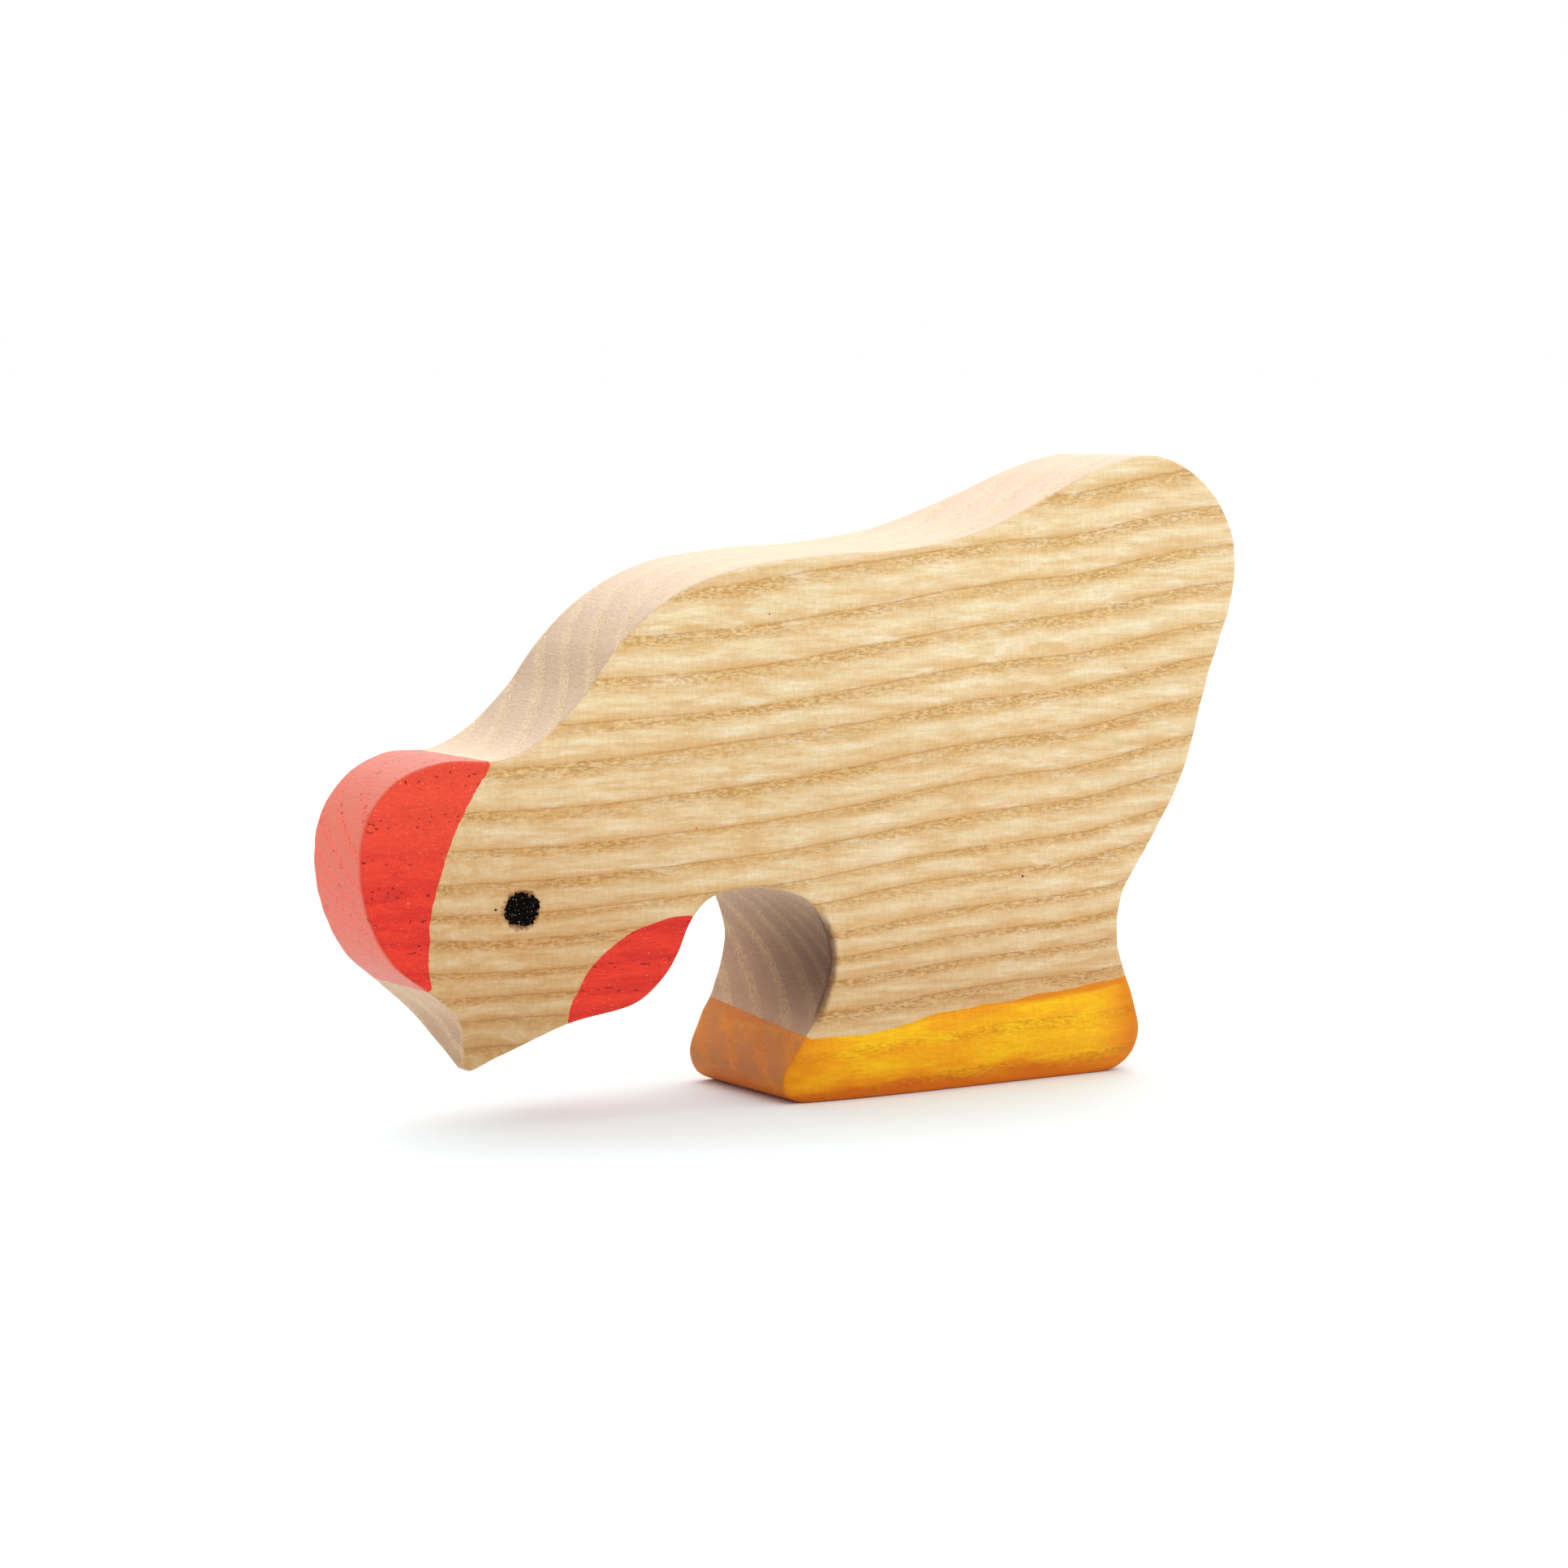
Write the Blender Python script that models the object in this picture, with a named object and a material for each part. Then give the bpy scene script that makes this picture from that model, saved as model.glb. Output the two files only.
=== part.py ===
"""Small wooden toy hen with its head down, pecking: one piece of ash, sawn, sanded and stained.

Frame: metres, +Z up, +X towards the tail, -Y to the hen's left. The origin is on the plane that
the hen stands on, under the middle of its length and of its thickness.

The hen is one solid piece of wood. Its finishes are thin skins let into the wood, so that each
finish is a node of its own: the red coat on the comb, the red coat on the wattle, the yellow coat
that wraps the whole foot, and the two black eyes. Each skin's outer surface is the hen's own
surface, and the wood is set back behind it by the skin's thickness and a small gap.
"""
import math

import bmesh
import bpy
from mathutils import Vector

MM = 0.001

# Driving dimensions, in millimetres.
LENGTH = 92.0          # comb to tail
HEIGHT = 58.2          # sole to top of the tail
BELLY_HALF = 10.0      # half of the board's thickness at the belly and the leg
NECK_SLIM = 2.5        # how much each face is pared back from the belly to the neck
COMB_SLIM = 2.7        # how much more is pared back from the neck to the comb
TAIL_SLIM = 3.0        # how much each face is pared back from the belly to the tail
SOLE_SLIM = 1.2        # how much each face rounds in towards the sole
BEAK_TIP_HALF = 0.7    # half of the thickness at the tip of the beak
BEAK_SPREAD = 0.86     # how fast the beak thickens with distance from its tip
EDGE = 0.5             # eased edge between the faces and the rim
SKIN = 0.3             # thickness of a coat
GAP = 0.3              # gap between a coat and the wood behind it
EYE_RADIUS = 1.6
EYE_CENTRE = (-31.8, 19.5)
BEAK_TIP = (-34.0, 4.9)
HEAD_END = -22.0       # where the head's closer slices give way to the body's

# Sampling, in millimetres.
OUTLINE_STEP = 1.7
STAIN_STEP = 1.2
HEAD_SLICE = 3.0
BODY_SLICE = 6.0
EYE_SIDES = 24

# The side view as X and Z, anticlockwise seen from the hen's left, one line for each stretch.
OUTLINE = (
    # beak, from the tip up to the comb
    (-33.7, 4.5), (-35.0, 6.6), (-36.8, 9.7), (-39.2, 12.0),
    # comb
    (-43.0, 15.1), (-45.2, 19.1), (-46.0, 23.6), (-45.3, 27.7), (-42.6, 31.0), (-38.5, 32.6),
    # nape and neck
    (-33.3, 32.7), (-29.8, 34.2), (-25.6, 37.8), (-21.9, 42.3), (-17.3, 46.0),
    # back
    (-11.0, 48.6), (-1.6, 49.8), (6.8, 50.2), (15.3, 51.6), (23.8, 54.7), (30.5, 57.3),
    # tail
    (36.7, 58.2), (42.0, 55.8), (45.5, 51.0), (45.8, 45.5), (43.1, 37.6), (39.6, 27.8),
    # back of the leg
    (35.3, 21.4), (31.8, 16.6), (31.2, 12.2), (32.7, 7.6),
    # heel
    (33.7, 4.0), (33.5, 1.8), (32.0, 0.4), (29.4, 0.0),
    # sole and toe
    (26.0, 0.0), (-0.5, 0.0), (-3.2, 0.0), (-5.2, 0.9), (-5.7, 2.7), (-4.6, 5.1),
    # front of the leg
    (-2.6, 8.6), (-1.3, 13.6), (-3.4, 18.4),
    # arch under the neck
    (-7.5, 20.0), (-12.5, 19.6), (-14.5, 18.0),
    # wattle and chin
    (-16.9, 13.3), (-20.0, 10.5), (-27.1, 8.8), (-31.5, 5.9),
)

# Each coat ends on the wood at its stain line, and its corners close the shape outside the hen.
COMB_LINE = ((-33.1, 34.4), (-35.9, 29.9), (-37.8, 25.8), (-39.4, 20.6), (-39.9, 14.6), (-38.9, 10.5))
COMB_CORNERS = ((-48.5, 10.5), (-48.5, 34.4))
WATTLE_LINE = ((-27.3, 6.5), (-26.8, 10.4), (-25.2, 13.6), (-21.6, 16.4), (-17.4, 17.7), (-12.0, 18.0))
WATTLE_CORNERS = ((-12.0, 6.5),)
FOOT_LINE = ((36.0, 9.9), (30.5, 9.0), (20.0, 8.1), (10.0, 7.3), (4.0, 6.3), (-2.0, 6.0), (-9.0, 6.3))
FOOT_CORNERS = ((-9.0, -3.0), (36.0, -3.0))

ASH = (0.74, 0.50, 0.24)
RED = (0.78, 0.06, 0.04)
YELLOW = (0.75, 0.33, 0.01)
BLACK = (0.01, 0.01, 0.01)


def clear_scene():
    """Remove the objects that are already in the scene."""
    for item in list(bpy.data.objects):
        bpy.data.objects.remove(item, do_unlink=True)


def ease(value):
    """Rise smoothly from 0 to 1 as value goes from 0 to 1."""
    value = min(max(value, 0.0), 1.0)
    return value * value * (3.0 - 2.0 * value)


def half_thickness(x, z):
    """Half of the hen's thickness at a place in the side view, in millimetres."""
    half = BELLY_HALF
    half -= NECK_SLIM * ease((4.0 - x) / 26.0)
    half -= COMB_SLIM * ease((-x - 31.0) / 14.0)
    half -= TAIL_SLIM * ease((x - 2.0) / 34.0) * (0.35 + 0.65 * ease((z - 6.0) / 30.0))
    half -= SOLE_SLIM * ease((5.0 - z) / 5.0) * ease((x + 14.0) / 4.0)
    beak = BEAK_TIP_HALF + BEAK_SPREAD * math.dist((x, z), BEAK_TIP)
    blend = 1.0
    return -blend * math.log(math.exp(-half / blend) + math.exp(-beak / blend))


def curve_through(knots, step, closed):
    """Points about a step apart on a centripetal Catmull-Rom curve through the knots."""
    knots = [Vector(knot) for knot in knots]
    if not closed:
        knots = [2 * knots[0] - knots[1]] + knots + [2 * knots[-1] - knots[-2]]
    count = len(knots)
    spans = [math.sqrt((knots[(i + 1) % count] - knots[i]).length) for i in range(count)]

    def tangent(i):
        before = knots[i] - knots[i - 1]
        after = knots[(i + 1) % count] - knots[i]
        near, far = spans[i - 1], spans[i]
        return before / near + after / far - (before + after) / (near + far)

    first, last = (0, count) if closed else (1, count - 2)
    points = []
    for i in range(first, last):
        start, end = knots[i], knots[(i + 1) % count]
        leave, arrive = tangent(i) * spans[i], tangent((i + 1) % count) * spans[i]
        pieces = max(2, round((end - start).length / step))
        for j in range(pieces):
            t = j / pieces
            point = start * (2 * t ** 3 - 3 * t ** 2 + 1) + leave * (t ** 3 - 2 * t ** 2 + t)
            point += end * (3 * t ** 2 - 2 * t ** 3) + arrive * (t ** 3 - t ** 2)
            points.append(point)
    if not closed:
        points.append(knots[last])
    return points


def hen_outline():
    """The hen's side view, to its full length and height and flat on the ground."""
    points = curve_through(OUTLINE, OUTLINE_STEP, closed=True)
    low = min(point.x for point in points)
    high = max(point.x for point in points)
    top = max(point.y for point in points)
    for point in points:
        point.x = (point.x - (low + high) / 2) * LENGTH / (high - low)
        point.y = max(point.y, 0.0) * HEIGHT / top
    return points


def signed_area(points):
    """Area inside a closed outline, negative where it runs clockwise."""
    return sum(a.cross(b) for a, b in zip(points, points[1:] + points[:1])) / 2


def distance_to_outline(point, outline):
    """Shortest way from a point to a closed outline."""
    best = math.inf
    for start, end in zip(outline, outline[1:] + outline[:1]):
        side = end - start
        along = min(max((point - start).dot(side) / side.length_squared, 0.0), 1.0)
        best = min(best, (point - start - side * along).length)
    return best


def moved_in(outline, distance):
    """The outline moved in by a distance, or out where it is negative, point by point."""
    turn = math.copysign(1.0, signed_area(outline))
    moved = []
    for before, here, after in zip(outline[-1:] + outline[:-1], outline, outline[1:] + outline[:1]):
        incoming = (here - before).normalized()
        outgoing = (after - here).normalized()
        side = incoming + outgoing
        normal = Vector((-side.y, side.x)).normalized() * turn
        spread = max(normal.dot(Vector((-incoming.y, incoming.x))) * turn, 0.5)
        moved.append(here + normal * distance / spread)
    return moved


def inset_outline(outline, distance):
    """The outline moved in, without the points that would fold over each other."""
    moved = moved_in(outline, distance)
    return [point for point in moved if distance_to_outline(point, outline) > 0.9 * distance]


def ring_solid(name, rings):
    """A closed solid through rings of points, each ring at its own place across the board."""
    mesh = bmesh.new()
    rows = []
    for depth, points in rings:
        rows.append([mesh.verts.new((point.x, depth, point.y)) for point in points])
    for row, following in zip(rows, rows[1:]):
        for i in range(len(row)):
            mesh.faces.new((row[i - 1], row[i], following[i], following[i - 1]))
    mesh.faces.new(rows[0])
    mesh.faces.new(rows[-1])
    bmesh.ops.recalc_face_normals(mesh, faces=mesh.faces)
    return add_object(name, mesh)


def add_object(name, mesh):
    """Link a bmesh in millimetres to the scene as an object in metres."""
    bmesh.ops.scale(mesh, vec=(MM, MM, MM), verts=mesh.verts)
    data = bpy.data.meshes.new(name)
    mesh.to_mesh(data)
    mesh.free()
    item = bpy.data.objects.new(name, data)
    bpy.context.collection.objects.link(item)
    return item


def pare_faces(item, inset):
    """Slice the flat faces into a grid and pare them back to the hen's changing thickness."""
    mesh = bmesh.new()
    mesh.from_mesh(item.data)
    cuts = [((1, 0, 0), x) for x in places_between(-LENGTH / 2, HEAD_END, HEAD_SLICE)]
    cuts += [((1, 0, 0), x) for x in places_between(HEAD_END, LENGTH / 2, BODY_SLICE)]
    cuts += [((0, 0, 1), z) for z in places_between(0.0, HEIGHT, BODY_SLICE)]
    for axis, place in cuts:
        everything = mesh.verts[:] + mesh.edges[:] + mesh.faces[:]
        corner = Vector(axis) * place * MM
        bmesh.ops.bisect_plane(mesh, geom=everything, dist=1e-6, plane_co=corner, plane_no=axis)
    bmesh.ops.triangulate(mesh, faces=mesh.faces)
    for vert in mesh.verts:
        half = half_thickness(vert.co.x / MM, vert.co.z / MM)
        vert.co.y *= (half - inset) / (BELLY_HALF - inset)
    mesh.to_mesh(item.data)
    mesh.free()


def places_between(low, high, step):
    """Evenly spaced places from one end up to the other, about a step apart."""
    count = round((high - low) / step)
    return [low + (high - low) * (i + 0.5) / count for i in range(count)]


def hen_solid(name, inset):
    """The hen's whole shape, with every surface moved in by the inset."""
    outline = hen_outline()
    edge = EDGE
    if inset > 0.0:
        outline = inset_outline(outline, inset)
        edge = 0.6 * EDGE
    half = BELLY_HALF - inset
    soft = edge * (1.0 - math.sqrt(0.5))
    profile = ((half, edge), (half - soft, soft), (half - edge, 0.0))
    rings = [(-depth, moved_in(outline, back)) for depth, back in profile]
    rings += [(depth, moved_in(outline, back)) for depth, back in reversed(profile)]
    item = ring_solid(name, rings)
    pare_faces(item, inset)
    return item


def prism(name, outline, low, high):
    """A straight prism of an outline, between two places across the board."""
    return ring_solid(name, ((low, outline), (high, outline)))


def combine(item, operation, other):
    """Add an exact Boolean with another object."""
    modifier = item.modifiers.new(operation.title(), "BOOLEAN")
    modifier.operation = operation
    modifier.object = other
    modifier.solver = "EXACT"


def make_guide(item):
    """Mark an object as a guide or a cutter that isn't part of the hen."""
    item.hide_render = True
    item.display_type = "WIRE"


def coated_region(line, corners):
    """The closed side view of a coat: its stain line, then the corners outside the hen."""
    return curve_through(line, STAIN_STEP, closed=False) + [Vector(corner) for corner in corners]


def eye_region():
    """The round side view of an eye."""
    turns = [2 * math.pi * i / EYE_SIDES for i in range(EYE_SIDES)]
    centre = Vector(EYE_CENTRE)
    return [centre + EYE_RADIUS * Vector((math.cos(turn), math.sin(turn))) for turn in turns]


def add_coat(name, region, span, material, guides, body):
    """Lay a skin on the hen inside a region, and set the wood back behind it."""
    whole, lining, core = guides
    coat = prism(name, region, *span)
    combine(coat, "INTERSECT", whole)
    combine(coat, "DIFFERENCE", lining)
    coat.data.materials.append(material)
    cutter = prism(name + "_cutter", moved_in(region, -GAP), *span)
    combine(cutter, "DIFFERENCE", core)
    make_guide(cutter)
    combine(body, "DIFFERENCE", cutter)
    return coat


def make_material(name, colour, roughness):
    """A Principled material of one colour, not metallic."""
    material = bpy.data.materials.new(name)
    material.use_nodes = True
    shader = material.node_tree.nodes["Principled BSDF"]
    shader.inputs["Base Color"].default_value = (*colour, 1.0)
    shader.inputs["Roughness"].default_value = roughness
    shader.inputs["Metallic"].default_value = 0.0
    return material


def smooth_rim(item):
    """Shade the curved rim smooth and keep the edges of the faces sharp."""
    item.data.shade_smooth()
    item.data.set_sharp_from_angle(angle=math.radians(30))


def build():
    """Make the hen's wooden body and the five coats on it."""
    clear_scene()
    body = hen_solid("body", 0.0)
    body.data.materials.append(make_material("ash_wood", ASH, 0.55))
    whole = hen_solid("hen_whole", 0.0)
    lining = hen_solid("hen_lining", SKIN)
    core = hen_solid("hen_core", SKIN + GAP)
    guides = (whole, lining, core)
    for guide in guides:
        make_guide(guide)
    red = make_material("red_stain", RED, 0.5)
    yellow = make_material("yellow_stain", YELLOW, 0.45)
    black = make_material("black_eye", BLACK, 0.6)
    across = (-BELLY_HALF - 2.0, BELLY_HALF + 2.0)
    left = (across[0], -BELLY_HALF / 2)
    right = (BELLY_HALF / 2, across[1])
    coats = (
        ("comb_coat", coated_region(COMB_LINE, COMB_CORNERS), across, red),
        ("wattle_coat", coated_region(WATTLE_LINE, WATTLE_CORNERS), across, red),
        ("foot_coat", coated_region(FOOT_LINE, FOOT_CORNERS), across, yellow),
        ("eye_left", eye_region(), left, black),
        ("eye_right", eye_region(), right, black),
    )
    smooth_rim(body)
    for name, region, span, material in coats:
        add_coat(name, region, span, material, guides, body)


build()
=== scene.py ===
"""The looks of a small wooden toy hen: dense meshes, wood grain, stain, light and camera.

The hen's surface is meshed once, from the same side view and thickness as its CAD solids, and cut
along the stain lines into closed pieces: the wood with a shallow pocket under each coat, and one
thin coat for each pocket. Every piece carries its ring number, end grain, distance from the edge,
scorching and painted shade in front of the leg as values on its points, and the materials draw
the grain from them.

Lengths are in millimetres until a piece is made, and in metres from there on.
"""

import math

import bpy
import numpy as np
from mathutils import Matrix, Vector, noise
from mathutils.geometry import delaunay_2d_cdt
from mathutils.kdtree import KDTree


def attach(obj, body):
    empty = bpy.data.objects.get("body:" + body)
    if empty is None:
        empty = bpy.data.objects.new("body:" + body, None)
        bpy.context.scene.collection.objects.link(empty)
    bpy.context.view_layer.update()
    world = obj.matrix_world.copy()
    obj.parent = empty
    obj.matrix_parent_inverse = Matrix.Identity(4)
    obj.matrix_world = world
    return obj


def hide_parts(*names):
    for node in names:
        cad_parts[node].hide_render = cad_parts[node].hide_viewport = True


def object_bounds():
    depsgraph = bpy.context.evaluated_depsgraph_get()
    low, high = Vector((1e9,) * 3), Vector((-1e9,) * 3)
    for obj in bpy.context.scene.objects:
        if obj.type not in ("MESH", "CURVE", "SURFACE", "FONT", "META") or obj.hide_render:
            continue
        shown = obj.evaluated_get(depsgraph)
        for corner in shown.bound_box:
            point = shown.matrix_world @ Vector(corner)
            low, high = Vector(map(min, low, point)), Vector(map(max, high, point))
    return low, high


MM = 0.001
MIRROR = (1, -1, 1)  # takes a point on the left side to the same place on the right

# The hen's side view as X and Z, as in its CAD source.
OUTLINE = (
    # beak, from the tip up to the comb
    (-33.7, 4.5), (-35.0, 6.6), (-36.8, 9.7), (-39.2, 12.0),
    # comb
    (-43.0, 15.1), (-45.2, 19.1), (-46.0, 23.6), (-45.3, 27.7), (-42.6, 31.0), (-38.5, 32.6),
    # nape and neck
    (-33.3, 32.7), (-29.8, 34.2), (-25.6, 37.8), (-21.9, 42.3), (-17.3, 46.0),
    # back
    (-11.0, 48.6), (-1.6, 49.8), (6.8, 50.2), (15.3, 51.6), (23.8, 54.7), (30.5, 57.3),
    # tail
    (36.7, 58.2), (42.0, 55.8), (45.5, 51.0), (45.8, 45.5), (43.1, 37.6), (39.6, 27.8),
    # back of the leg
    (35.3, 21.4), (31.8, 16.6), (31.2, 12.2), (32.7, 7.6),
    # heel
    (33.7, 4.0), (33.5, 1.8), (32.0, 0.4), (29.4, 0.0),
    # sole and toe
    (26.0, 0.0), (-0.5, 0.0), (-3.2, 0.0), (-5.2, 0.9), (-5.7, 2.7), (-4.6, 5.1),
    # front of the leg
    (-2.6, 8.6), (-1.3, 13.6), (-3.4, 18.4),
    # arch under the neck
    (-7.5, 20.0), (-12.5, 19.6), (-14.5, 18.0),
    # wattle and chin
    (-16.9, 13.3), (-20.0, 10.5), (-27.1, 8.8), (-31.5, 5.9),
)

# Where each coat ends on the wood, and the corners that close its shape outside the hen.
COMB_LINE = (
    (-33.1, 34.4), (-35.9, 29.9), (-37.8, 25.8), (-39.4, 20.6), (-39.9, 14.6), (-38.9, 10.5),
)
COMB_CORNERS = ((-48.5, 10.5), (-48.5, 34.4))
WATTLE_LINE = (
    (-27.3, 6.5), (-26.8, 10.4), (-25.2, 13.6), (-21.6, 16.4), (-17.4, 17.7), (-12.0, 18.0),
)
WATTLE_CORNERS = ((-12.0, 6.5),)
FOOT_LINE = (
    (36.0, 9.9), (30.5, 9.0), (20.0, 8.1), (10.0, 7.3), (4.0, 6.3), (-2.0, 6.0), (-9.0, 6.3),
)
FOOT_CORNERS = ((-9.0, -3.0), (36.0, -3.0))
EYE_CENTRE = (-31.8, 19.5)
EYE_RADIUS = 1.55

# Thickness, as in the CAD source: half of it at the belly, and how much each end is pared back.
BELLY_HALF = 10.0
NECK_SLIM = 2.5
COMB_SLIM = 2.7
TAIL_SLIM = 3.0
SOLE_SLIM = 1.2
BEAK_TIP_HALF = 0.7
BEAK_SPREAD = 0.86
BEAK_TIP = (-34.0, 4.9)

TOE_STAIN = (-4.2, 6.1)  # where the foot's stain meets the toe on the left face
TOE_RISE = 1.5         # how much higher it meets the toe on the far side
TOE_REACH = 2.6        # how far along the rim that difference spreads

COMB_WANDER = 0.16     # how far each stain line wanders to either side
WATTLE_WANDER = 0.14
FOOT_WANDER = 0.18

EDGE = 0.45            # radius of the eased edge between the faces and the rim
EDGE_STEPS = 3         # rings round the eased edge
POCKET = 0.30          # depth of the pocket under a coat
COAT = 0.28            # thickness of a coat
MESH_STEP = 0.40       # distance between mesh points
EYE_STEP = 0.13        # the same inside an eye
OUTLINE_STEP = 0.1     # distance between the points that the outline is measured from
STAIN_STEP = 0.25      # the same for a stain line
CLEARANCE = 0.6        # how much of a mesh step is kept clear beside a line
SHARP_ANGLE = 50.0     # degrees between faces above which an edge is drawn sharp
WAVE = 0.05            # how far hand sanding leaves the faces from true
WAVE_RATE = 0.09       # waves per millimetre
GRAIN_RELIEF = 0.03    # how far the dense wood of each ring stands out

# Growth rings, where their dark lines cross the left face under the middle of the back: the
# height of the lowest line, far below the sole, and the width of each ring from there upwards.
LOWEST_RING = -25.2
RING_WIDTHS = (3.8,) * 9 + (
    2.6, 2.2, 2.3, 3.0, 2.3, 3.0, 3.0, 3.5, 3.9, 3.1, 3.8, 3.6, 3.9, 3.8, 3.9, 4.0,
)
RING_SLOPE = 0.75      # how far a ring climbs for each millimetre across the board
RING_BEND = 2.6        # how far the rings rise from the middle of the hen to each end
TAIL_BEND = 2.2        # how much more they rise at the tail

# The studio's light, where 1 is white: all round, from above, from the key and taken away in front.
ROOM_LIGHT = 1.0
OVERHEAD_LIGHT = 0.48
KEY_DIRECTION = (0.30, 0.55, 0.78)
KEY_LIGHT = 1.45
SHADE_DIRECTION = (-0.85, -0.45, 0.0)
SHADE = 0.45

FLOOR_HALF = 12.0      # metres from the hen to each edge of the floor

# The camera: what it looks at, its angles in degrees, its distance in metres and its lens.
CAMERA_TARGET = (-0.0005, 0.0, 0.0283)
CAMERA_AZIMUTH = -31.4
CAMERA_ELEVATION = 5.5
CAMERA_DISTANCE = 0.400
CAMERA_LENS = 99.8


def ease(value):
    """Rise smoothly from 0 to 1 as value goes from 0 to 1."""
    value = np.clip(value, 0.0, 1.0)
    return value * value * (3.0 - 2.0 * value)


def half_thickness(x, z):
    """Half of the hen's thickness at places in the side view."""
    half = BELLY_HALF - NECK_SLIM * ease((4.0 - x) / 26.0)
    half = half - COMB_SLIM * ease((-x - 31.0) / 14.0)
    half = half - TAIL_SLIM * ease((x - 2.0) / 34.0) * (0.35 + 0.65 * ease((z - 6.0) / 30.0))
    half = half - SOLE_SLIM * ease((5.0 - z) / 5.0) * ease((x + 14.0) / 4.0)
    beak = BEAK_TIP_HALF + BEAK_SPREAD * np.hypot(x - BEAK_TIP[0], z - BEAK_TIP[1])
    return -np.log(np.exp(-half) + np.exp(-beak))


def curve_through(knots, step, closed):
    """Points about a step apart on a centripetal Catmull-Rom curve through the knots."""
    knots = [Vector(knot) for knot in knots]
    if not closed:
        knots = [2 * knots[0] - knots[1]] + knots + [2 * knots[-1] - knots[-2]]
    count = len(knots)
    spans = [math.sqrt((knots[(i + 1) % count] - knots[i]).length) for i in range(count)]

    def tangent(i):
        before = knots[i] - knots[i - 1]
        after = knots[(i + 1) % count] - knots[i]
        near, far = spans[i - 1], spans[i]
        return before / near + after / far - (before + after) / (near + far)

    first, last = (0, count) if closed else (1, count - 2)
    points = []
    for i in range(first, last):
        start, end = knots[i], knots[(i + 1) % count]
        leave, arrive = tangent(i) * spans[i], tangent((i + 1) % count) * spans[i]
        pieces = max(2, round((end - start).length / step))
        for j in range(pieces):
            t = j / pieces
            point = start * (2 * t ** 3 - 3 * t ** 2 + 1) + leave * (t ** 3 - 2 * t ** 2 + t)
            point += end * (3 * t ** 2 - 2 * t ** 3) + arrive * (t ** 3 - t ** 2)
            points.append(point)
    if not closed:
        points.append(knots[last])
    return np.array([tuple(point) for point in points])


def hen_outline(box):
    """The side view as close points, to the length and height of the CAD box."""
    points = curve_through(OUTLINE, OUTLINE_STEP, closed=True)
    points[:, 1] = np.maximum(points[:, 1], 0.0)
    low, high = points.min(axis=0), points.max(axis=0)
    box_low, box_high = (np.array([corner[0], corner[2]]) / MM for corner in box)
    points = box_low + (points - low) * (box_high - box_low) / (high - low)
    ahead = np.roll(points, -1, axis=0)
    turning = points[:, 0] * ahead[:, 1] - points[:, 1] * ahead[:, 0]
    return points if turning.sum() > 0.0 else points[::-1]


def spaced(points, step):
    """The same closed line with evenly spaced points, about a step apart."""
    closed = np.vstack([points, points[:1]])
    along = np.r_[0.0, np.cumsum(np.linalg.norm(np.diff(closed, axis=0), axis=1))]
    places = np.linspace(0.0, along[-1], round(along[-1] / step), endpoint=False)
    return np.stack([np.interp(places, along, closed[:, i]) for i in range(2)], axis=1)


def nearest_on_line(points, line):
    """The nearest place on a closed line to each point, and the line's direction there."""
    tree = KDTree(len(line))
    for i, (x, z) in enumerate(line):
        tree.insert((x, z, 0.0), i)
    tree.balance()
    nearest = np.array([tree.find((x, z, 0.0))[1] for x, z in points.tolist()])
    directions = np.roll(line, -1, axis=0) - np.roll(line, 1, axis=0)
    directions /= np.linalg.norm(directions, axis=1)[:, None]
    directions = directions[nearest]
    along = ((points - line[nearest]) * directions).sum(axis=1)
    return line[nearest] + along.clip(-0.2, 0.2)[:, None] * directions, directions


def distance_to_line(points, line):
    """How far each point is from a closed line."""
    return np.linalg.norm(points - nearest_on_line(points, line)[0], axis=1)


def inside(points, line):
    """Whether each point is inside a closed line."""
    result = np.zeros(len(points), bool)
    for start, end in zip(line, np.roll(line, -1, axis=0)):
        if start[1] == end[1]:
            continue
        crosses = (start[1] > points[:, 1]) != (end[1] > points[:, 1])
        where = start[0] + (points[:, 1] - start[1]) * (end[0] - start[0]) / (end[1] - start[1])
        result ^= crosses & (points[:, 0] < where)
    return result


def rough_line(line, size, seed):
    """A line with the small wander that a stain's edge has on wood, along its own normals."""
    rough = line.copy()
    for i in range(1, len(line) - 1):
        along = line[i + 1] - line[i - 1]
        normal = np.array([-along[1], along[0]]) / np.linalg.norm(along)
        x, z = line[i]
        wander = noise.noise((x * 0.3, z * 0.9, seed)) + 0.35 * noise.noise((x * 1.2, z * 5.0, seed))
        rough[i] += normal * wander * size
    return rough


def stain_regions():
    """The closed side view of each coat, by name."""
    shapes = (
        ("comb", COMB_LINE, COMB_CORNERS, COMB_WANDER),
        ("wattle", WATTLE_LINE, WATTLE_CORNERS, WATTLE_WANDER),
        ("foot", FOOT_LINE, FOOT_CORNERS, FOOT_WANDER),
    )
    regions = {}
    for seed, (name, line, corners, size) in enumerate(shapes):
        smooth = curve_through(line, STAIN_STEP, closed=False)
        regions[name] = np.vstack([rough_line(smooth, size, 7.3 * (seed + 1)), corners])
    turns = np.linspace(0.0, 2 * math.pi, 72, endpoint=False)
    reach = []
    for turn in turns:
        wander = noise.noise((2.2 * math.cos(turn), 2.2 * math.sin(turn), 3.7))
        fine = noise.noise((7.5 * math.cos(turn), 7.5 * math.sin(turn), 9.1))
        reach.append(EYE_RADIUS * (1.03 + 0.14 * wander + 0.22 * fine))
    circle = np.stack([np.cos(turns) * reach * 1.04, np.sin(turns) * reach * 0.94], axis=1)
    regions["eye"] = np.array(EYE_CENTRE) + circle
    return regions


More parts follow.
